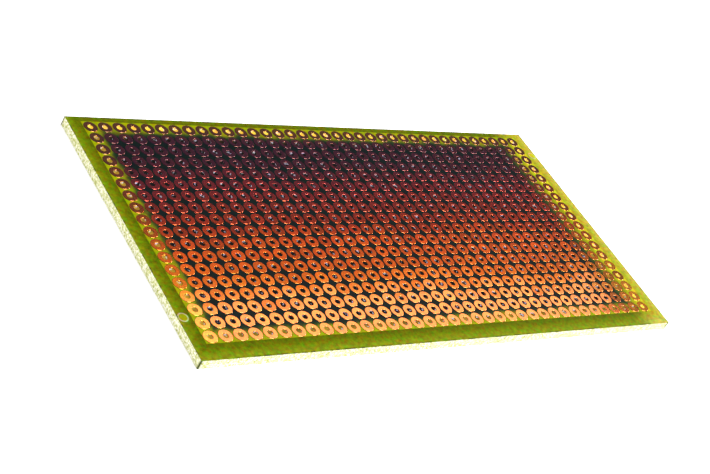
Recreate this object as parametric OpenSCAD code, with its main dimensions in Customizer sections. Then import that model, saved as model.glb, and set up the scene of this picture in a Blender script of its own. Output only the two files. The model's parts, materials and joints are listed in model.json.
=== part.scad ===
// Prototype board: a bare glass-epoxy laminate drilled on a 0.1 inch grid, with one
// etched copper pad round each lead hole on its upper face. A thin resist film fills the
// field between the pads and stops short of the edges, so that a bare rim runs all round.
// The board lies on its lower face. The origin is the centre of that face, +Z is up and
// +X runs along the rows of pads.

/* [Laminate] */
// Length of the board, along the rows
board_length = 98.5; // [60:0.1:160]
// Width of the board, across the rows
board_width = 49.7; // [30:0.1:120]
// Thickness of the laminate
board_thickness = 1.6; // [0.8:0.1:3.2]

/* [Hole grid] */
// Distance between neighbouring lead holes, both ways
hole_pitch = 2.54; // [2:0.01:5.08]
// Diameter of a lead hole
lead_hole_diameter = 0.9; // [0.6:0.05:1.4]
// Least distance kept from the outer hole centres to the board's edges
least_margin = 3.1; // [2.8:0.1:6]
// Distance of the hole grid's centre from the board's centre, across the rows
grid_shift = 0.93; // [-1:0.01:1]

/* [Copper pads] */
// Gap between the edges of neighbouring pads
pad_gap = 0.2; // [0.14:0.01:0.6]
// Thickness of the copper foil
foil_thickness = 0.035; // [0.018:0.001:0.105]

/* [Resist film] */
// Thickness of the film
film_thickness = 0.025; // [0.015:0.001:0.06]
// Distance from the outer pads' edges to the film's border
film_border = 0.05; // [0.05:0.01:0.4]
// Clearance round each pad inside its window in the film
window_clearance = 0.04; // [0.01:0.01:0.05]

/* [Tooling holes] */
// Diameter of the two tooling holes in the rim
tooling_hole_diameter = 1.3; // [0.8:0.1:1.5]
// Distance of a tooling hole's centre from the nearest short edge
tooling_edge_distance = 1; // [0.9:0.05:1.5]
// Distance of a tooling hole from the outer row beside it, in pitches
tooling_row_steps = 1.5; // [0.5:1:4.5]

/* [Hidden] */
// A cut or a drill runs this far past the faces that it goes through
overrun = 1;
// Sides of the drawn circles
$fn = 64;

// Holes that fit along a side with the least margin at both ends
function holes_along(side) = floor((side - 2 * least_margin) / hole_pitch) + 1;
columns = holes_along(board_length);
rows = holes_along(board_width);

grid_length = (columns - 1) * hole_pitch;
grid_width = (rows - 1) * hole_pitch;
pad_diameter = hole_pitch - pad_gap;
window_diameter = pad_diameter + 2 * window_clearance;
film_length = grid_length + pad_diameter + 2 * film_border;
film_width = grid_width + pad_diameter + 2 * film_border;

// Centre of the hole in a column and a row, both counted from 1 at the -X, -Y corner
function column_x(column) = (column - 1) * hole_pitch - grid_length / 2;
function row_y(row) = (row - 1) * hole_pitch - grid_width / 2 + grid_shift;

// The two tooling holes face each other across the grid's centre
tooling_x = board_length / 2 - tooling_edge_distance;
tooling_y = grid_width / 2 - tooling_row_steps * hole_pitch;
tooling_holes = [[-tooling_x, grid_shift - tooling_y], [tooling_x, grid_shift + tooling_y]];

function pad_row_name(row) = str("pad_row_", row < 10 ? "0" : "", row);

// A plate centred on the Z axis, standing on z = 0
module plate(length, width, thickness) {
    translate([-length / 2, -width / 2, 0])
        cube([length, width, thickness]);
}

// One drill or punch through a sheet that stands on z = 0
module drill(place, diameter, thickness) {
    translate([place[0], place[1], -overrun])
        cylinder(d = diameter, h = thickness + 2 * overrun);
}

// The same drill at every place of the grid
module drill_grid(diameter, thickness) {
    for (row = [1 : rows], column = [1 : columns])
        drill([column_x(column), row_y(row)], diameter, thickness);
}

// Both tooling holes
module drill_tooling_holes(thickness) {
    for (place = tooling_holes)
        drill(place, tooling_hole_diameter, thickness);
}

// Woven glass and epoxy, sawn square at the edges and drilled right through
module laminate() {
    color("olivedrab")
        difference() {
            plate(board_length, board_width, board_thickness);
            drill_grid(lead_hole_diameter, board_thickness);
            drill_tooling_holes(board_thickness);
        }
}

// Clear yellow-green lacquer on the upper face, with a round window for every pad
module resist_film() {
    color("yellowgreen")
        translate([0, 0, board_thickness])
            difference() {
                translate([0, grid_shift, 0])
                    plate(film_length, film_width, film_thickness);
                drill_grid(window_diameter, film_thickness);
                drill_tooling_holes(film_thickness);
            }
}

// One annular pad of etched foil, standing on z = 0
module pad() {
    difference() {
        cylinder(d = pad_diameter, h = foil_thickness);
        drill([0, 0], lead_hole_diameter, foil_thickness);
    }
}

// The pads of one row: as many separate rings as there are columns
module pad_row(row) {
    color("chocolate")
        for (column = [1 : columns])
            translate([column_x(column), row_y(row), board_thickness])
                pad();
}

laminate();
resist_film();
for (row = [1 : rows])
    pad_row(row);
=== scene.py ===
import json
import math

import bpy
from mathutils import Matrix, Vector


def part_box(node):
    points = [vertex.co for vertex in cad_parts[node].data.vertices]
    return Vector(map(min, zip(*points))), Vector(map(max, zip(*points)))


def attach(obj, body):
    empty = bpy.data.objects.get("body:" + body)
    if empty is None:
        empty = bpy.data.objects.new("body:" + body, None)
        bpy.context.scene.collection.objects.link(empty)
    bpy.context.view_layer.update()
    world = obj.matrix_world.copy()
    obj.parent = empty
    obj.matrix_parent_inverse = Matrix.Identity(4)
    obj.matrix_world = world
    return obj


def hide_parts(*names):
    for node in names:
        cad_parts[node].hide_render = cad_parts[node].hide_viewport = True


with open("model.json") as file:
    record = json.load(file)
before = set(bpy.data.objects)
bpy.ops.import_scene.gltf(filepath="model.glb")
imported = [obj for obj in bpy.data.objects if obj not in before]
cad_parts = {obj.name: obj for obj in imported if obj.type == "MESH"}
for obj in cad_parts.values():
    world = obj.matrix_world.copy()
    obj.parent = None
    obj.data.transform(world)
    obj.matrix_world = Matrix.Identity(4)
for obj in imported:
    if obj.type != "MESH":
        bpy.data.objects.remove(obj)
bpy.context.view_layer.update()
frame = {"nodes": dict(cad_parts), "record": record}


# ---- Laminate -----------------------------------------------------------------------------
# The board itself: glass cloth pressed in yellow-green epoxy, 1.6 mm thick. It is drilled
# right through on a square grid, and its outline is sawn, which leaves the edges ragged and
# pale where broken glass scatters the light.

MM = 0.001
board_low, board_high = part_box("laminate")
board_length = board_high.x - board_low.x
board_width = board_high.y - board_low.y
board_top = board_high.z

row_names = sorted(name for name in frame["nodes"] if name.startswith("pad_row_"))
first_row_low, first_row_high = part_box(row_names[0])
last_row_low, last_row_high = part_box(row_names[-1])
pad_diameter = 2.34 * MM
rows = len(row_names)
pitch = (last_row_low.y - first_row_low.y) / (rows - 1)
columns = round((first_row_high.x - first_row_low.x - pad_diameter) / pitch) + 1
grid_shift = (first_row_low.y + last_row_high.y) / 2

film_low, film_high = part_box("resist_film")
film_length = film_high.x - film_low.x
film_width = film_high.y - film_low.y

mounts = {mount["name"]: mount for mount in frame["record"]["mounts"]}
lead_hole_diameter = 2 * mounts["corner_lead_hole"]["dims"]["r_mm"] * MM
tooling_diameter = 2 * mounts["tooling_holes"]["dims"]["hole_r_mm"] * MM
tooling_edge_distance = 1.0 * MM
tooling_x = board_length / 2 - tooling_edge_distance
tooling_y = math.sqrt((mounts["tooling_holes"]["dims"]["pcd_mm"] / 2 * MM) ** 2 - tooling_x**2)


def linear(hex_colour):
    """A linear RGBA colour from an sRGB hex value such as "#8a9a20"."""
    channels = [int(hex_colour[i : i + 2], 16) / 255 for i in (1, 3, 5)]
    return [c / 12.92 if c <= 0.04045 else ((c + 0.055) / 1.055) ** 2.4 for c in channels] + [1]


def add(tree, kind, links=None, **settings):
    """Adds a node. links gives each input, by name or number, a value or a socket."""
    node = tree.nodes.new(kind)
    for name, value in settings.items():
        setattr(node, name, value)
    for name, value in (links or {}).items():
        if isinstance(value, bpy.types.NodeSocket):
            tree.links.new(value, node.inputs[name])
        else:
            node.inputs[name].default_value = value
    return node


def start_geometry(name, **inputs):
    """A new geometry tree with one named input for each keyword, which gives its kind."""
    tree = bpy.data.node_groups.new(name, "GeometryNodeTree")
    for label, kind in inputs.items():
        tree.interface.new_socket(label, in_out="INPUT", socket_type="NodeSocket" + kind)
    tree.interface.new_socket("Geometry", in_out="OUTPUT", socket_type="NodeSocketGeometry")
    return tree, tree.nodes.new("NodeGroupInput").outputs


def finish_geometry(tree, shape, material):
    """Ends a tree in real meshes with their material."""
    solid = add(tree, "GeometryNodeRealizeInstances", {"Geometry": shape})
    painted = add(tree, "GeometryNodeSetMaterial", {"Geometry": solid.outputs[0], "Material": material})
    add(tree, "NodeGroupOutput", {"Geometry": painted.outputs[0]})


def grow(tree, name, **sizes):
    """A plain mesh object made by a geometry tree at these sizes."""
    piece = bpy.data.objects.new(name, bpy.data.meshes.new(name))
    bpy.context.scene.collection.objects.link(piece)
    modifier = piece.modifiers.new(name, "NODES")
    modifier.node_group = tree
    for item in tree.interface.items_tree:
        if item.name in sizes:
            modifier[item.identifier] = sizes[item.name]
    depsgraph = bpy.context.evaluated_depsgraph_get()
    mesh = bpy.data.meshes.new_from_object(piece.evaluated_get(depsgraph), depsgraph=depsgraph)
    piece.modifiers.clear()
    while mesh.materials and mesh.materials[0] is None:
        mesh.materials.pop(index=0)
    piece.data = mesh
    return piece


saw_bite = 10 / 9 * MM  # the saw leaves nine bites in each 10 mm of edge
outline_cuts = 359  # on each side of the outline, so that a bite is a few points long
lead_hole_sides = 32
tooling_hole_sides = 40
weld = 0.0001 * MM


def drilled_sheet_tree():
    """A flat sheet with a grid of round holes and the two tooling holes through it."""
    tree, inputs = start_geometry(
        "drilled sheet",
        Length="Float", Width="Float", Thickness="Float", Height="Float", Shift="Float", Ragged="Float",
        Columns="Int", Rows="Int", Pitch="Float", GridShift="Float", Hole="Float",
        Tooling="Float", ToolingX="Float", ToolingY="Float", Material="Material",
    )

    # the outline, with points close enough together for the saw's marks
    outline = add(
        tree, "GeometryNodeCurvePrimitiveQuadrilateral",
        {"Width": inputs["Length"], "Height": inputs["Width"]}, mode="RECTANGLE",
    )
    fine = add(tree, "GeometryNodeSubdivideCurve", {"Curve": outline.outputs[0], "Cuts": outline_cuts})
    place = add(tree, "GeometryNodeInputPosition")
    tooth = add(
        tree, "ShaderNodeTexNoise",
        {"Vector": place.outputs[0], "Scale": 1 / saw_bite, "Detail": 3, "Roughness": 0.7},
    )
    side = add(tree, "ShaderNodeVectorMath", {0: place.outputs[0]}, operation="SIGN")
    depth = add(
        tree, "ShaderNodeVectorMath", {0: tooth.outputs["Color"], 1: side.outputs[0]}, operation="MULTIPLY"
    )
    bite = add(tree, "ShaderNodeMath", {0: inputs["Ragged"], 1: -1.0}, operation="MULTIPLY")
    inward = add(
        tree, "ShaderNodeVectorMath", {0: depth.outputs[0], "Scale": bite.outputs[0]}, operation="SCALE"
    )
    sawn = add(tree, "GeometryNodeSetPosition", {"Geometry": fine.outputs[0], "Offset": inward.outputs[0]})
    shift = add(tree, "ShaderNodeCombineXYZ", {"Y": inputs["Shift"]})
    edge = add(tree, "GeometryNodeTransform", {"Geometry": sawn.outputs[0], "Translation": shift.outputs[0]})

    # one circle for each hole of the grid
    gaps_along = add(tree, "ShaderNodeMath", {0: inputs["Columns"], 1: 1.0}, operation="SUBTRACT")
    gaps_across = add(tree, "ShaderNodeMath", {0: inputs["Rows"], 1: 1.0}, operation="SUBTRACT")
    along = add(
        tree, "ShaderNodeMath", {0: gaps_along.outputs[0], 1: inputs["Pitch"]}, operation="MULTIPLY"
    )
    across = add(
        tree, "ShaderNodeMath", {0: gaps_across.outputs[0], 1: inputs["Pitch"]}, operation="MULTIPLY"
    )
    grid = add(
        tree, "GeometryNodeMeshGrid",
        {
            "Size X": along.outputs[0], "Size Y": across.outputs[0],
            "Vertices X": inputs["Columns"], "Vertices Y": inputs["Rows"],
        },
    )
    sideways = add(tree, "ShaderNodeCombineXYZ", {"Y": inputs["GridShift"]})
    places = add(
        tree, "GeometryNodeTransform",
        {"Geometry": grid.outputs["Mesh"], "Translation": sideways.outputs[0]},
    )
    hole_radius = add(tree, "ShaderNodeMath", {0: inputs["Hole"], 1: 0.5}, operation="MULTIPLY")
    circle = add(
        tree, "GeometryNodeCurvePrimitiveCircle",
        {"Resolution": lead_hole_sides, "Radius": hole_radius.outputs[0]},
    )
    lead_holes = add(
        tree, "GeometryNodeInstanceOnPoints",
        {"Points": places.outputs[0], "Instance": circle.outputs["Curve"]},
    )

    # the two tooling holes, at the ends of a line through the grid's centre
    far_y = add(
        tree, "ShaderNodeMath", {0: inputs["GridShift"], 1: inputs["ToolingY"]}, operation="ADD"
    )
    near_y = add(
        tree, "ShaderNodeMath", {0: inputs["GridShift"], 1: inputs["ToolingY"]}, operation="SUBTRACT"
    )
    near_x = add(tree, "ShaderNodeMath", {0: inputs["ToolingX"], 1: -1.0}, operation="MULTIPLY")
    near_place = add(tree, "ShaderNodeCombineXYZ", {"X": near_x.outputs[0], "Y": near_y.outputs[0]})
    far_place = add(tree, "ShaderNodeCombineXYZ", {"X": inputs["ToolingX"], "Y": far_y.outputs[0]})
    line = add(
        tree, "GeometryNodeMeshLine",
        {"Count": 2, "Start Location": near_place.outputs[0], "Offset": far_place.outputs[0]},
        mode="END_POINTS",
    )
    tooling_radius = add(tree, "ShaderNodeMath", {0: inputs["Tooling"], 1: 0.5}, operation="MULTIPLY")
    ring = add(
        tree, "GeometryNodeCurvePrimitiveCircle",
        {"Resolution": tooling_hole_sides, "Radius": tooling_radius.outputs[0]},
    )
    tooling_holes = add(
        tree, "GeometryNodeInstanceOnPoints",
        {"Points": line.outputs[0], "Instance": ring.outputs["Curve"]},
    )

    # the flat pattern, filled between its outlines and given its thickness
    outlines = tree.nodes.new("GeometryNodeJoinGeometry")
    for part in (edge, lead_holes, tooling_holes):
        tree.links.new(part.outputs[0], outlines.inputs[0])
    real = add(tree, "GeometryNodeRealizeInstances", {"Geometry": outlines.outputs[0]})
    face = add(tree, "GeometryNodeFillCurve", {"Curve": real.outputs[0]})
    raised = add(
        tree, "GeometryNodeExtrudeMesh",
        {"Mesh": face.outputs[0], "Offset Scale": inputs["Thickness"], "Individual": False},
    )
    underside = add(tree, "GeometryNodeFlipFaces", {"Mesh": face.outputs[0]})
    shell = tree.nodes.new("GeometryNodeJoinGeometry")
    for part in (raised, underside):
        tree.links.new(part.outputs[0], shell.inputs[0])
    closed = add(tree, "GeometryNodeMergeByDistance", {"Geometry": shell.outputs[0], "Distance": weld})
    height = add(tree, "ShaderNodeCombineXYZ", {"Z": inputs["Height"]})
    lifted = add(
        tree, "GeometryNodeTransform",
        {"Geometry": closed.outputs[0], "Translation": height.outputs[0]},
    )
    finish_geometry(tree, lifted.outputs[0], inputs["Material"])
    return tree


drilled_sheet = drilled_sheet_tree()


def start_material(name):
    """A new node material. Gives its tree, its shader and the Object coordinates."""
    material = bpy.data.materials.new(name)
    material.use_nodes = True
    tree = material.node_tree
    shader = tree.nodes["Principled BSDF"]
    return material, tree, shader, add(tree, "ShaderNodeTexCoord").outputs["Object"]


def past_film(tree, place):
    """How far a point lies outside the film's outline, in metres, and inside it as a negative."""
    centred = add(tree, "ShaderNodeVectorMath", {0: place, 1: (0, grid_shift, 0)}, operation="SUBTRACT")
    folded = add(tree, "ShaderNodeVectorMath", {0: centred.outputs[0]}, operation="ABSOLUTE")
    half = (film_length / 2, film_width / 2, 0)
    past = add(tree, "ShaderNodeVectorMath", {0: folded.outputs[0], 1: half}, operation="SUBTRACT")
    sides = add(tree, "ShaderNodeSeparateXYZ", {0: past.outputs[0]})
    outermost = add(
        tree, "ShaderNodeMath", {0: sides.outputs["X"], 1: sides.outputs["Y"]}, operation="MAXIMUM"
    )
    return outermost.outputs[0]


# how far the rim's light reaches under the film from each border, in mm: full, then none
REACH = {"left": (0.9, 3.9), "right": (0.9, 7.2), "near": (0.4, 3.2), "far": (0.5, 3.9)}
# the light's edge wanders this far off a straight line, in swings about 3 mm long
light_wander = 2.4 * MM
wander_length = 3.125 * MM


def edge_light(tree, place, sides):
    """1 at these borders of the film, 0 where no light from the bare rim comes through the glass."""
    drift = add(tree, "ShaderNodeTexNoise", {"Vector": place, "Scale": 1 / wander_length, "Detail": 3})
    centre = (-0.5, -0.5, -0.5)
    wander = add(tree, "ShaderNodeVectorMath", {0: drift.outputs["Color"], 1: centre}, operation="ADD")
    moved = add(
        tree, "ShaderNodeVectorMath", {0: wander.outputs[0], "Scale": light_wander}, operation="SCALE"
    )
    near = add(tree, "ShaderNodeVectorMath", {0: place, 1: moved.outputs[0]}, operation="ADD")
    axes = add(tree, "ShaderNodeSeparateXYZ", {0: near.outputs[0]})
    borders = {
        "left": (axes.outputs["X"], film_low.x, 1),
        "right": (axes.outputs["X"], film_high.x, -1),
        "near": (axes.outputs["Y"], film_low.y, 1),
        "far": (axes.outputs["Y"], film_high.y, -1),
    }
    lit = None
    for side in sides:
        along, border, inward = borders[side]
        full, none = REACH[side]
        fade = add(
            tree, "ShaderNodeMapRange",
            {
                "Value": along, "From Min": border + inward * full * MM,
                "From Max": border + inward * none * MM, "To Min": 1.0, "To Max": 0.0,
            },
            interpolation_type="SMOOTHSTEP",
        )
        if lit is None:
            lit = fade.outputs[0]
        else:
            lit = add(tree, "ShaderNodeMath", {0: lit, 1: fade.outputs[0]}, operation="MAXIMUM").outputs[0]
    return lit


def ramp(tree, factor, *stops):
    """A colour ramp with (position, hex colour) stops."""
    node = add(tree, "ShaderNodeValToRGB", {"Fac": factor})
    points = node.color_ramp.elements
    while len(points) < len(stops):
        points.new(0.5)
    for point, (position, colour) in zip(points, stops):
        point.position = position
        point.color = linear(colour)
    return node.outputs["Color"]


def mixed(tree, factor, first, second, blend="MIX"):
    """Two colours blended. Sockets 6, 7 and 2 are the node's first and second colour and its result."""
    node = add(
        tree, "ShaderNodeMix", {0: factor, 6: first, 7: second}, data_type="RGBA", blend_type=blend
    )
    return node.outputs[2]


warp_spacing = 0.58 * MM
weft_spacing = 0.80 * MM


def weave(tree, place):
    """Plain-woven glass cloth, from the spacing of its threads along X and along Y."""
    axes = add(tree, "ShaderNodeSeparateXYZ", {0: place})
    waves = []
    for along, spacing in ((axes.outputs["X"], warp_spacing), (axes.outputs["Y"], weft_spacing)):
        turn = add(tree, "ShaderNodeMath", {0: along, 1: 2 * math.pi / spacing}, operation="MULTIPLY")
        waves.append(add(tree, "ShaderNodeMath", {0: turn.outputs[0]}, operation="SINE").outputs[0])
    return add(tree, "ShaderNodeMath", {0: waves[0], 1: waves[1]}, operation="MULTIPLY").outputs[0]


def off_tooling_holes(tree, place):
    """The distance to the centre of the nearer tooling hole, in metres."""
    nearest = None
    for side in (-1, 1):
        centre = (side * tooling_x, grid_shift + side * tooling_y, board_top)
        away = add(tree, "ShaderNodeVectorMath", {0: place, 1: centre}, operation="DISTANCE").outputs["Value"]
        if nearest is None:
            nearest = away
        else:
            nearest = add(tree, "ShaderNodeMath", {0: nearest, 1: away}, operation="MINIMUM").outputs[0]
    return nearest


def mottled(tree, place, colour, grain_size, depth):
    """A colour with a cloudy grain of this size and depth, and the noise behind it."""
    noise = add(
        tree, "ShaderNodeTexNoise",
        {"Vector": place, "Scale": 1 / grain_size, "Detail": 4, "Roughness": 0.65},
    )
    # the noise stays within about 0.3 and 0.7, so it is stretched about its middle
    swing, middle = 2.5 * depth, 1 - 1.25 * depth
    tones = add(
        tree, "ShaderNodeVectorMath",
        {0: noise.outputs["Color"], 1: (swing, swing, swing), 2: (middle, middle, middle)},
        operation="MULTIPLY_ADD",
    )
    return mixed(tree, 1.0, colour, tones.outputs[0], "MULTIPLY"), noise.outputs["Fac"]


def from_outline(tree, place):
    """How far a point lies inside the board's sawn outline, along X and along Y, in metres."""
    folded = add(tree, "ShaderNodeVectorMath", {0: place}, operation="ABSOLUTE")
    half = (board_length / 2, board_width / 2, 0)
    inside = add(tree, "ShaderNodeVectorMath", {0: half, 1: folded.outputs[0]}, operation="SUBTRACT")
    sides = add(tree, "ShaderNodeSeparateXYZ", {0: inside.outputs[0]})
    return sides.outputs["X"], sides.outputs["Y"]


# the bare rim, from the film to the sawn edge, darkest at the film with painted shadow of the pad field, and
# the same with painted lamp light at the +X end
rim_width = 2.4 * MM
rim_shadowed_greens = ((0.0, "#566100"), (0.25, "#5d6800"), (0.55, "#6b7700"), (1.0, "#7c8a10"))
rim_lamp_lit_greens = ((0.0, "#a09b15"), (0.45, "#aba72c"), (1.0, "#b8b446"))
lamp_lit_from, lamp_lit_to = film_high.x - 6 * MM, film_high.x + 0.5 * MM
# under the film, from the dark middle to the border that the rim's light reaches
field_greens = ((0.0, "#101918"), (0.3, "#26341a"), (0.6, "#62680a"), (1.0, "#8f9208"))
lower_face_green = "#717c12"
# the hole walls' painted shade and light: from the dark middle to the holes that the light reaches from each
# pair of sides
wall_glows = ((0.0, "#2c2a29"), (0.4, "#7a5c20"), (0.6, "#c8a238"), (1.0, "#f4e06a"))
wall_faint_glows = ((0.0, "#000000"), (1.0, "#c4ac48"))
wall_glow_strength = 0.36
# pale broken fibre ends, painted as highlights near the top of each wall
fibre_glint_white = "#f4eeff"
fibre_bundle = MM / 2.2  # coarser than the real 0.01 mm fibres, so that it shows
fibre_lowest, fibre_highest = board_top - 0.45 * MM, board_top - 0.25 * MM
crazed_green = "#c8cc8a"
crazed_from, crazed_to = tooling_diameter / 2 + 0.12 * MM, tooling_diameter / 2 + 0.26 * MM
resin_cloud = MM / 1.5  # a cloud in the resin is about one thread of the cloth long
chip_size = 1.0 * MM
chip_from, chip_to = 0.12 * MM, 0.3 * MM
chipped_green = "#343c0c"
upright_limit = 0.5  # a face whose normal has less of Z than this stands upright


def glass_epoxy_face():
    """Etched glass-epoxy: matt and yellow-green, cloudy, with the cloth just visible in it."""
    material, tree, shader, place = start_material("fr4_etched_face")
    past = past_film(tree, place)

    # the rim: painted shadow of the pad field darkens it towards the film, it is paler towards the sawn edge,
    # and painted lamp light yellows it at the +X end
    outward = add(tree, "ShaderNodeMapRange", {"Value": past, "From Min": 0.0, "From Max": rim_width})
    green = ramp(tree, outward.outputs[0], *rim_shadowed_greens)
    warm = ramp(tree, outward.outputs[0], *rim_lamp_lit_greens)
    axes = add(tree, "ShaderNodeSeparateXYZ", {0: place})
    rightward = add(
        tree, "ShaderNodeMapRange",
        {"Value": axes.outputs["X"], "From Min": lamp_lit_from, "From Max": lamp_lit_to},
        interpolation_type="SMOOTHSTEP",
    )
    rim = mixed(tree, rightward.outputs[0], green, warm)

    # under the film: dark inside, with the light that the clear rim pipes in along its border
    inner = ramp(tree, edge_light(tree, place, REACH), *field_greens)
    outside = add(tree, "ShaderNodeMath", {0: past, 1: 0.0}, operation="GREATER_THAN")
    colour = mixed(tree, outside.outputs[0], inner, rim)

    # the lower face has no film and is one even green
    facing = add(tree, "ShaderNodeNewGeometry")
    normal = add(tree, "ShaderNodeSeparateXYZ", {0: facing.outputs["Normal"]})
    below = add(tree, "ShaderNodeMath", {0: normal.outputs["Z"], 1: -upright_limit}, operation="LESS_THAN")
    colour = mixed(tree, below.outputs[0], colour, linear(lower_face_green))

    # drilled walls: painted shade in the middle holes, pale broken fibres painted as highlights near the top,
    # and a painted glow of the rim's light in the outer holes, the glow and highlights also given off as
    # emission
    upright = add(tree, "ShaderNodeMath", {0: normal.outputs["Z"]}, operation="ABSOLUTE")
    wall = add(tree, "ShaderNodeMath", {0: upright.outputs[0], 1: upright_limit}, operation="LESS_THAN")
    bright = ramp(tree, edge_light(tree, place, ("right", "far")), *wall_glows)
    faint = ramp(tree, edge_light(tree, place, ("left", "near")), *wall_faint_glows)
    glow = mixed(tree, 1.0, bright, faint, "LIGHTEN")
    fibre = add(tree, "ShaderNodeTexNoise", {"Vector": place, "Scale": 1 / fibre_bundle, "Detail": 1})
    broken = add(
        tree, "ShaderNodeMapRange", {"Value": fibre.outputs["Fac"], "From Min": 0.58, "From Max": 0.64}
    )
    upper = add(
        tree, "ShaderNodeMapRange",
        {"Value": axes.outputs["Z"], "From Min": fibre_lowest, "From Max": fibre_highest},
    )
    glinting = add(
        tree, "ShaderNodeMath", {0: broken.outputs[0], 1: upper.outputs[0]}, operation="MULTIPLY"
    )
    glow = mixed(tree, glinting.outputs[0], glow, linear(fibre_glint_white))
    colour = mixed(tree, wall.outputs[0], colour, glow)
    through = mixed(tree, wall.outputs[0], linear("#000000"), glow)
    tree.links.new(through, shader.inputs["Emission Color"])
    shader.inputs["Emission Strength"].default_value = wall_glow_strength

    # the drill crazed the glass round each tooling hole
    crazed = add(
        tree, "ShaderNodeMapRange",
        {
            "Value": off_tooling_holes(tree, place), "From Min": crazed_from, "From Max": crazed_to,
            "To Min": 0.75, "To Max": 0.0,
        },
    )
    colour = mixed(tree, crazed.outputs[0], colour, linear(crazed_green))
    colour, grain = mottled(tree, place, colour, resin_cloud, 0.9)

    # the saw chipped the surface along its edge
    inside_x, inside_y = from_outline(tree, place)
    nearest = add(tree, "ShaderNodeMath", {0: inside_x, 1: inside_y}, operation="MINIMUM")
    edge = add(
        tree, "ShaderNodeMapRange",
        {
            "Value": nearest.outputs[0], "From Min": chip_from, "From Max": chip_to,
            "To Min": 1.0, "To Max": 0.0,
        },
    )
    chips = add(tree, "ShaderNodeTexNoise", {"Vector": place, "Scale": 1 / chip_size, "Detail": 1})
    chipped = add(
        tree, "ShaderNodeMapRange", {"Value": chips.outputs["Fac"], "From Min": 0.5, "From Max": 0.6}
    )
    dark = add(tree, "ShaderNodeMath", {0: edge.outputs[0], 1: chipped.outputs[0]}, operation="MULTIPLY")
    colour = mixed(tree, dark.outputs[0], colour, linear(chipped_green))

    tree.links.new(colour, shader.inputs["Base Color"])
    shader.inputs["Roughness"].default_value = 0.5
    shader.inputs["Specular IOR Level"].default_value = 0.02
    height = add(tree, "ShaderNodeMath", {0: weave(tree, place), 1: grain}, operation="ADD")
    bump = add(
        tree, "ShaderNodeBump", {"Height": height.outputs[0], "Strength": 0.25, "Distance": 0.01 * MM}
    )
    tree.links.new(bump.outputs[0], shader.inputs["Normal"])
    return material


deepest_bite = 0.08 * MM
laminate = grow(
    drilled_sheet, "board_laminate",
    Length=board_length, Width=board_width, Thickness=board_top - board_low.z, Height=board_low.z,
    Shift=0.0, Ragged=deepest_bite,
    Columns=columns, Rows=rows, Pitch=pitch, GridShift=grid_shift, Hole=lead_hole_diameter,
    Tooling=tooling_diameter, ToolingX=tooling_x, ToolingY=tooling_y, Material=glass_epoxy_face(),
)


fleck_size = 0.3125 * MM  # tufts of torn fibre, as coarse as they need to be to show
fleck_creams = ((0.32, "#8c9440"), (0.42, "#c8cc78"), (0.52, "#eaeabc"), (0.6, "#fbfbea"))
bruise_from, bruise_to = 0.14 * MM, 0.42 * MM
bruised_resin = "#454f12"
edge_glow_strength = 0.13  # the light that the glass carries out through its cut edge
tuft_height = 0.04 * MM


def sawn_edge():
    """Glass-epoxy cut across its plies: rough broken fibre, almost white, with resin in it."""
    material, tree, shader, place = start_material("fr4_sawn_edge")
    flecks = add(
        tree, "ShaderNodeTexNoise",
        {"Vector": place, "Scale": 1 / fleck_size, "Detail": 4, "Roughness": 0.7},
    )
    colour = ramp(tree, flecks.outputs["Fac"], *fleck_creams)

    # bruised resin down the corners
    inside_x, inside_y = from_outline(tree, place)
    farther = add(tree, "ShaderNodeMath", {0: inside_x, 1: inside_y}, operation="MAXIMUM")
    corner = add(
        tree, "ShaderNodeMapRange",
        {
            "Value": farther.outputs[0], "From Min": bruise_from, "From Max": bruise_to,
            "To Min": 1.0, "To Max": 0.0,
        },
    )
    colour = mixed(tree, corner.outputs[0], colour, linear(bruised_resin))
    tree.links.new(colour, shader.inputs["Base Color"])
    # painted glow: the cut edge gives off its own colour as emission, for the light the glass carries out
    tree.links.new(colour, shader.inputs["Emission Color"])
    shader.inputs["Emission Strength"].default_value = edge_glow_strength
    shader.inputs["Roughness"].default_value = 0.85
    shader.inputs["Specular IOR Level"].default_value = 0.2
    bump = add(
        tree, "ShaderNodeBump",
        {"Height": flecks.outputs["Fac"], "Strength": 0.5, "Distance": tuft_height},
    )
    tree.links.new(bump.outputs[0], shader.inputs["Normal"])
    return material


edge_band = 0.3 * MM  # deeper than the saw's bites, and short of every hole


def paint_sawn_edge(piece, material):
    """Gives the upright faces in the edge's band the cut material."""
    piece.data.materials.append(material)
    index = len(piece.data.materials) - 1
    inner_x, inner_y = board_length / 2 - edge_band, board_width / 2 - edge_band
    for face in piece.data.polygons:
        outside = abs(face.center.x) > inner_x or abs(face.center.y) > inner_y
        if abs(face.normal.z) < upright_limit and outside:
            face.material_index = index


crease_angle = math.radians(30)
paint_sawn_edge(laminate, sawn_edge())
laminate.data.shade_smooth()
laminate.data.set_sharp_from_angle(angle=crease_angle)
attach(laminate, "root")
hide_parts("laminate")


# ---- Resist film --------------------------------------------------------------------------
# A thin clear lacquer over the etched field, printed with a round window for every pad. It
# stops just past the outer pads. It is smooth and deepens the laminate's colour.


# from the dark middle to the border that the rim's light reaches, and the +X border, lit most
lacquer_greens = (
    (0.0, "#101c1a"), (0.2, "#20301c"), (0.35, "#384418"), (0.6, "#74760a"), (1.0, "#929a00"),
)
lit_lacquer = "#c0bc18"


def resist_lacquer():
    """Clear printed lacquer: smooth and yellow-green, dark where no light comes up through it."""
    material, tree, shader, place = start_material("resist_lacquer")
    colour = ramp(tree, edge_light(tree, place, REACH), *lacquer_greens)
    rightward = edge_light(tree, place, ("right",))
    lit = add(tree, "ShaderNodeMapRange", {"Value": rightward, "From Min": 0.8, "From Max": 1.0})
    colour = mixed(tree, lit.outputs[0], colour, linear(lit_lacquer))
    colour = mottled(tree, place, colour, resin_cloud, 0.6)[0]
    tree.links.new(colour, shader.inputs["Base Color"])
    shader.inputs["Roughness"].default_value = 0.25
    shader.inputs["Specular IOR Level"].default_value = 0.03
    return material


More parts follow.
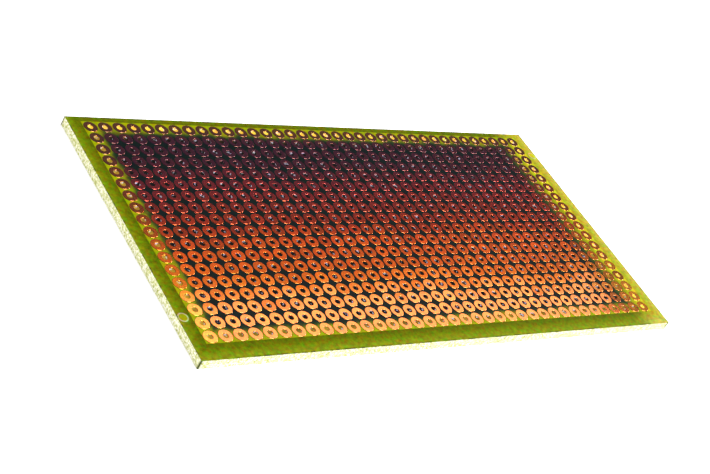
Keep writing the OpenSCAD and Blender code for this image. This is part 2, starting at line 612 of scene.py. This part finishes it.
window_clearance = 0.04 * MM
film = grow(
    drilled_sheet, "resist_lacquer_film",
    Length=film_length, Width=film_width, Thickness=film_high.z - film_low.z, Height=film_low.z,
    Shift=grid_shift, Ragged=0.0,
    Columns=columns, Rows=rows, Pitch=pitch, GridShift=grid_shift,
    Hole=pad_diameter + 2 * window_clearance,
    Tooling=tooling_diameter, ToolingX=tooling_x, ToolingY=tooling_y, Material=resist_lacquer(),
)
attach(film, "root")
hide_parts("resist_film")


# ---- Copper pads --------------------------------------------------------------------------
# One ring of etched copper foil round each lead hole, under a thin flux lacquer. Etching rounds
# the outer edge, and the drill rolls the inner edge down into the hole.

foil = 0.035 * MM
pad_sides = 24
outer, inner = pad_diameter / 2, lead_hole_diameter / 2
# radius and height round the ring: up the etched edge, over the flat, and down into the hole
pad_section = (
    (outer, 0.0), (outer - 0.015 * MM, 0.75 * foil), (outer - 0.05 * MM, foil),
    (inner + 0.05 * MM, foil), (inner + 0.01 * MM, 0.6 * foil), (inner - 0.01 * MM, -1.2 * foil),
)
pad_creases = (0, 2, 3, 5)  # the rings of that section where the surface turns sharply


def pad_blank():
    """One pad on z = 0, as a closed ring with its flat, its etched edge and its drilled lip."""
    rings = len(pad_section)
    points = []
    for step in range(pad_sides):
        turn = 2 * math.pi * step / pad_sides
        points += [(r * math.cos(turn), r * math.sin(turn), z) for r, z in pad_section]
    faces = []
    for step in range(pad_sides):
        here, there = step * rings, (step + 1) % pad_sides * rings
        for low in range(rings):
            high = (low + 1) % rings
            faces.append((here + low, there + low, there + high, here + high))
    mesh = bpy.data.meshes.new("pad_blank")
    mesh.from_pydata(points, [], faces)
    mesh.shade_smooth()
    for edge in mesh.edges:
        first, second = (corner % rings for corner in edge.vertices)
        edge.use_edge_sharp = first == second and first in pad_creases
    blank = bpy.data.objects.new("pad_blank", mesh)
    bpy.context.scene.collection.objects.link(blank)
    return blank


def pad_row_tree():
    """A row of pads, each a little out of level as its foil was pressed."""
    tree, inputs = start_geometry(
        "pad row", First="Vector", Pitch="Float", Columns="Int", Tilt="Float", Seed="Int",
        Pad="Object", Material="Material",
    )
    step = add(tree, "ShaderNodeCombineXYZ", {"X": inputs["Pitch"]})
    places = add(
        tree, "GeometryNodeMeshLine",
        {"Count": inputs["Columns"], "Start Location": inputs["First"], "Offset": step.outputs[0]},
    )
    least = add(tree, "ShaderNodeMath", {0: inputs["Tilt"], 1: -1.0}, operation="MULTIPLY")
    low = add(tree, "ShaderNodeCombineXYZ", {"X": least.outputs[0], "Y": least.outputs[0]})
    high = add(tree, "ShaderNodeCombineXYZ", {"X": inputs["Tilt"], "Y": inputs["Tilt"], "Z": math.pi})
    tilt = add(
        tree, "FunctionNodeRandomValue",
        {"Min": low.outputs[0], "Max": high.outputs[0], "Seed": inputs["Seed"]}, data_type="FLOAT_VECTOR",
    )
    pad = add(tree, "GeometryNodeObjectInfo", {"Object": inputs["Pad"]})
    row = add(
        tree, "GeometryNodeInstanceOnPoints",
        {"Points": places.outputs[0], "Instance": pad.outputs["Geometry"], "Rotation": tilt.outputs[0]},
    )
    finish_geometry(tree, row.outputs[0], inputs["Material"])
    return tree


# painted reflection shade, from the brightest copper in the row at -Y, where the pads mirror the window, to
# dark brown where the far rows mirror the dim walls, and a little brighter at +Y
copper_shade_ramp = (
    (0.0, "#d47c38"), (0.14, "#d88c3a"), (0.24, "#cb7a12"), (0.32, "#d07610"), (0.42, "#e87a1a"),
    (0.5, "#dc6022"), (0.68, "#dc5440"), (0.8, "#8c4a46"), (0.92, "#84484a"), (1.0, "#a86448"),
)
shade_wave_length = 10 / 3 * MM  # the painted shade drifts over about a pad and a half
shade_drift = 0.04  # of the way across the board
lit_copper = "#d8a418"
copper_grain = MM / 2.6  # rolling marks, coarser than real ones so that they show
copper_relief = 0.01 * MM


def copper():
    """Etched copper foil under clear flux lacquer: glossy orange metal, with painted reflection shade from
    orange to brown across the rows.
    """
    material, tree, shader, place = start_material("lacquered_copper")
    axes = add(tree, "ShaderNodeSeparateXYZ", {0: place})
    across = add(
        tree, "ShaderNodeMapRange",
        {"Value": axes.outputs["Y"], "From Min": film_low.y, "From Max": film_high.y},
    )
    drift = add(tree, "ShaderNodeTexNoise", {"Vector": place, "Scale": 1 / shade_wave_length, "Detail": 2})
    wander = add(
        tree, "ShaderNodeMapRange",
        {
            "Value": drift.outputs["Fac"], "From Min": 0.3, "From Max": 0.7,
            "To Min": -shade_drift, "To Max": shade_drift,
        },
    )
    shaded_across = add(tree, "ShaderNodeMath", {0: across.outputs[0], 1: wander.outputs[0]}, operation="ADD")
    # painted reflection shade: the base colour darkens to brown towards +Y, where the pads mirror the dim
    # walls
    colour = ramp(tree, shaded_across.outputs[0], *copper_shade_ramp)

    # the rim's light comes up through the glass and yellows the outer pads
    lit = edge_light(tree, place, ("left", "right", "far"))
    share = add(tree, "ShaderNodeMath", {0: lit, 1: 0.5}, operation="MULTIPLY")
    colour = mixed(tree, share.outputs[0], colour, linear(lit_copper))
    colour, grain = mottled(tree, place, colour, copper_grain, 0.6)
    tree.links.new(colour, shader.inputs["Base Color"])
    shader.inputs["Metallic"].default_value = 1.0
    shader.inputs["Roughness"].default_value = 0.11
    shader.inputs["Specular Tint"].default_value = linear("#f4b088")
    shader.inputs["Coat Weight"].default_value = 0.8
    shader.inputs["Coat Roughness"].default_value = 0.06
    bump = add(tree, "ShaderNodeBump", {"Height": grain, "Strength": 0.08, "Distance": copper_relief})
    tree.links.new(bump.outputs[0], shader.inputs["Normal"])
    return material


most_tilt = math.radians(0.3)
pad_row = pad_row_tree()
blank = pad_blank()
foil_finish = copper()
first_x = -(columns - 1) * pitch / 2
first_y = grid_shift - (rows - 1) / 2 * pitch
for number, name in enumerate(row_names):
    row = grow(
        pad_row, "copper_" + name, First=Vector((first_x, first_y + number * pitch, board_top)),
        Pitch=pitch, Columns=columns, Tilt=most_tilt, Seed=number, Pad=blank, Material=foil_finish,
    )
    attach(row, "root")
    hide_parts(name)
bpy.data.objects.remove(blank)


# ---- Studio -------------------------------------------------------------------------------
# A plain pale light table and soft lights. Places and sizes here are in metres.

table_reach = 4.0
table_gap = 0.02 * MM


def floor():
    """A wide sheet of white acrylic, lit evenly from below."""
    mesh = bpy.data.meshes.new("light_table")
    far, level = table_reach, board_low.z - table_gap
    corners = [(-far, -far, level), (far, -far, level), (far, far, level), (-far, far, level)]
    mesh.from_pydata(corners, [], [(0, 1, 2, 3)])
    top = bpy.data.objects.new("light_table", mesh)
    bpy.context.scene.collection.objects.link(top)
    material, _, shader, _ = start_material("lit_white_acrylic")
    shader.inputs["Base Color"].default_value = linear("#f2f2f2")
    shader.inputs["Roughness"].default_value = 0.9
    shader.inputs["Specular IOR Level"].default_value = 0.1
    shader.inputs["Emission Color"].default_value = linear("#ffffff")
    shader.inputs["Emission Strength"].default_value = 0.75
    mesh.materials.append(material)


def softbox(name, place, aim, size, power, colour="#ffffff"):
    """A rectangular softbox that faces a point."""
    light = bpy.data.lights.new(name, "AREA")
    light.shape = "RECTANGLE"
    light.size, light.size_y = size
    light.energy = power
    light.color = linear(colour)[:3]
    box = bpy.data.objects.new(name, light)
    bpy.context.scene.collection.objects.link(box)
    box.location = place
    box.rotation_euler = (Vector(aim) - Vector(place)).to_track_quat("-Z", "Y").to_euler()


# from the horizon up to the ceiling
wall_tones = ((0.0, "#f4f4f4"), (0.08, "#f4f4f4"), (0.26, "#7a7498"), (0.7, "#6a6486"), (1.0, "#38344a"))


def studio_walls():
    """Pale low walls and a dim violet ceiling."""
    world = bpy.data.worlds.new("studio")
    bpy.context.scene.world = world
    world.use_nodes = True
    tree = world.node_tree
    way = add(tree, "ShaderNodeTexCoord")
    axes = add(tree, "ShaderNodeSeparateXYZ", {0: way.outputs["Generated"]})
    colour = ramp(tree, axes.outputs["Z"], *wall_tones)
    tree.links.new(colour, tree.nodes["Background"].inputs["Color"])


floor()
studio_walls()
lamp = bpy.data.lights.new("lamp", "SUN")
lamp.energy = 3.35
lamp.angle = math.radians(32)
lamp_object = bpy.data.objects.new("lamp", lamp)
bpy.context.scene.collection.objects.link(lamp_object)
toward_lamp = Vector((0.36, -0.30, 0.88))
lamp_object.rotation_euler = toward_lamp.to_track_quat("Z", "Y").to_euler()
softbox("side", place=(0.46, 0.02, 0.21), aim=(0.0, 0.0, 0.0), size=(0.14, 0.14), power=0.8)
# a window over the far right, which the near pads mirror, and the orange blind along its foot
softbox(
    "window", place=(0.415, 0.223, 0.40), aim=(0.415, 0.223, 0.0), size=(0.48, 0.246), power=0.95,
    colour="#ffe8c8",
)
softbox(
    "window_foot", place=(0.415, 0.370, 0.40), aim=(0.415, 0.370, 0.0), size=(0.48, 0.048), power=0.06,
    colour="#ff9448",
)

camera_place = Vector((-162.04, -130.36, 129.94)) * MM
heading, down, roll = math.radians(50.107), math.radians(32.693), math.radians(31.72)
lens = bpy.data.cameras.new("camera")
lens.sensor_width = 36
lens.lens = 76.27
lens.clip_start = 0.01
camera = bpy.data.objects.new("camera", lens)
bpy.context.scene.collection.objects.link(camera)
turn = (
    Matrix.Rotation(-heading, 4, "Z")
    @ Matrix.Rotation(math.pi / 2 - down, 4, "X")
    @ Matrix.Rotation(roll, 4, "Z")
)
camera.matrix_world = Matrix.Translation(camera_place) @ turn
bpy.context.scene.camera = camera
bpy.context.scene.view_settings.view_transform = "Standard"
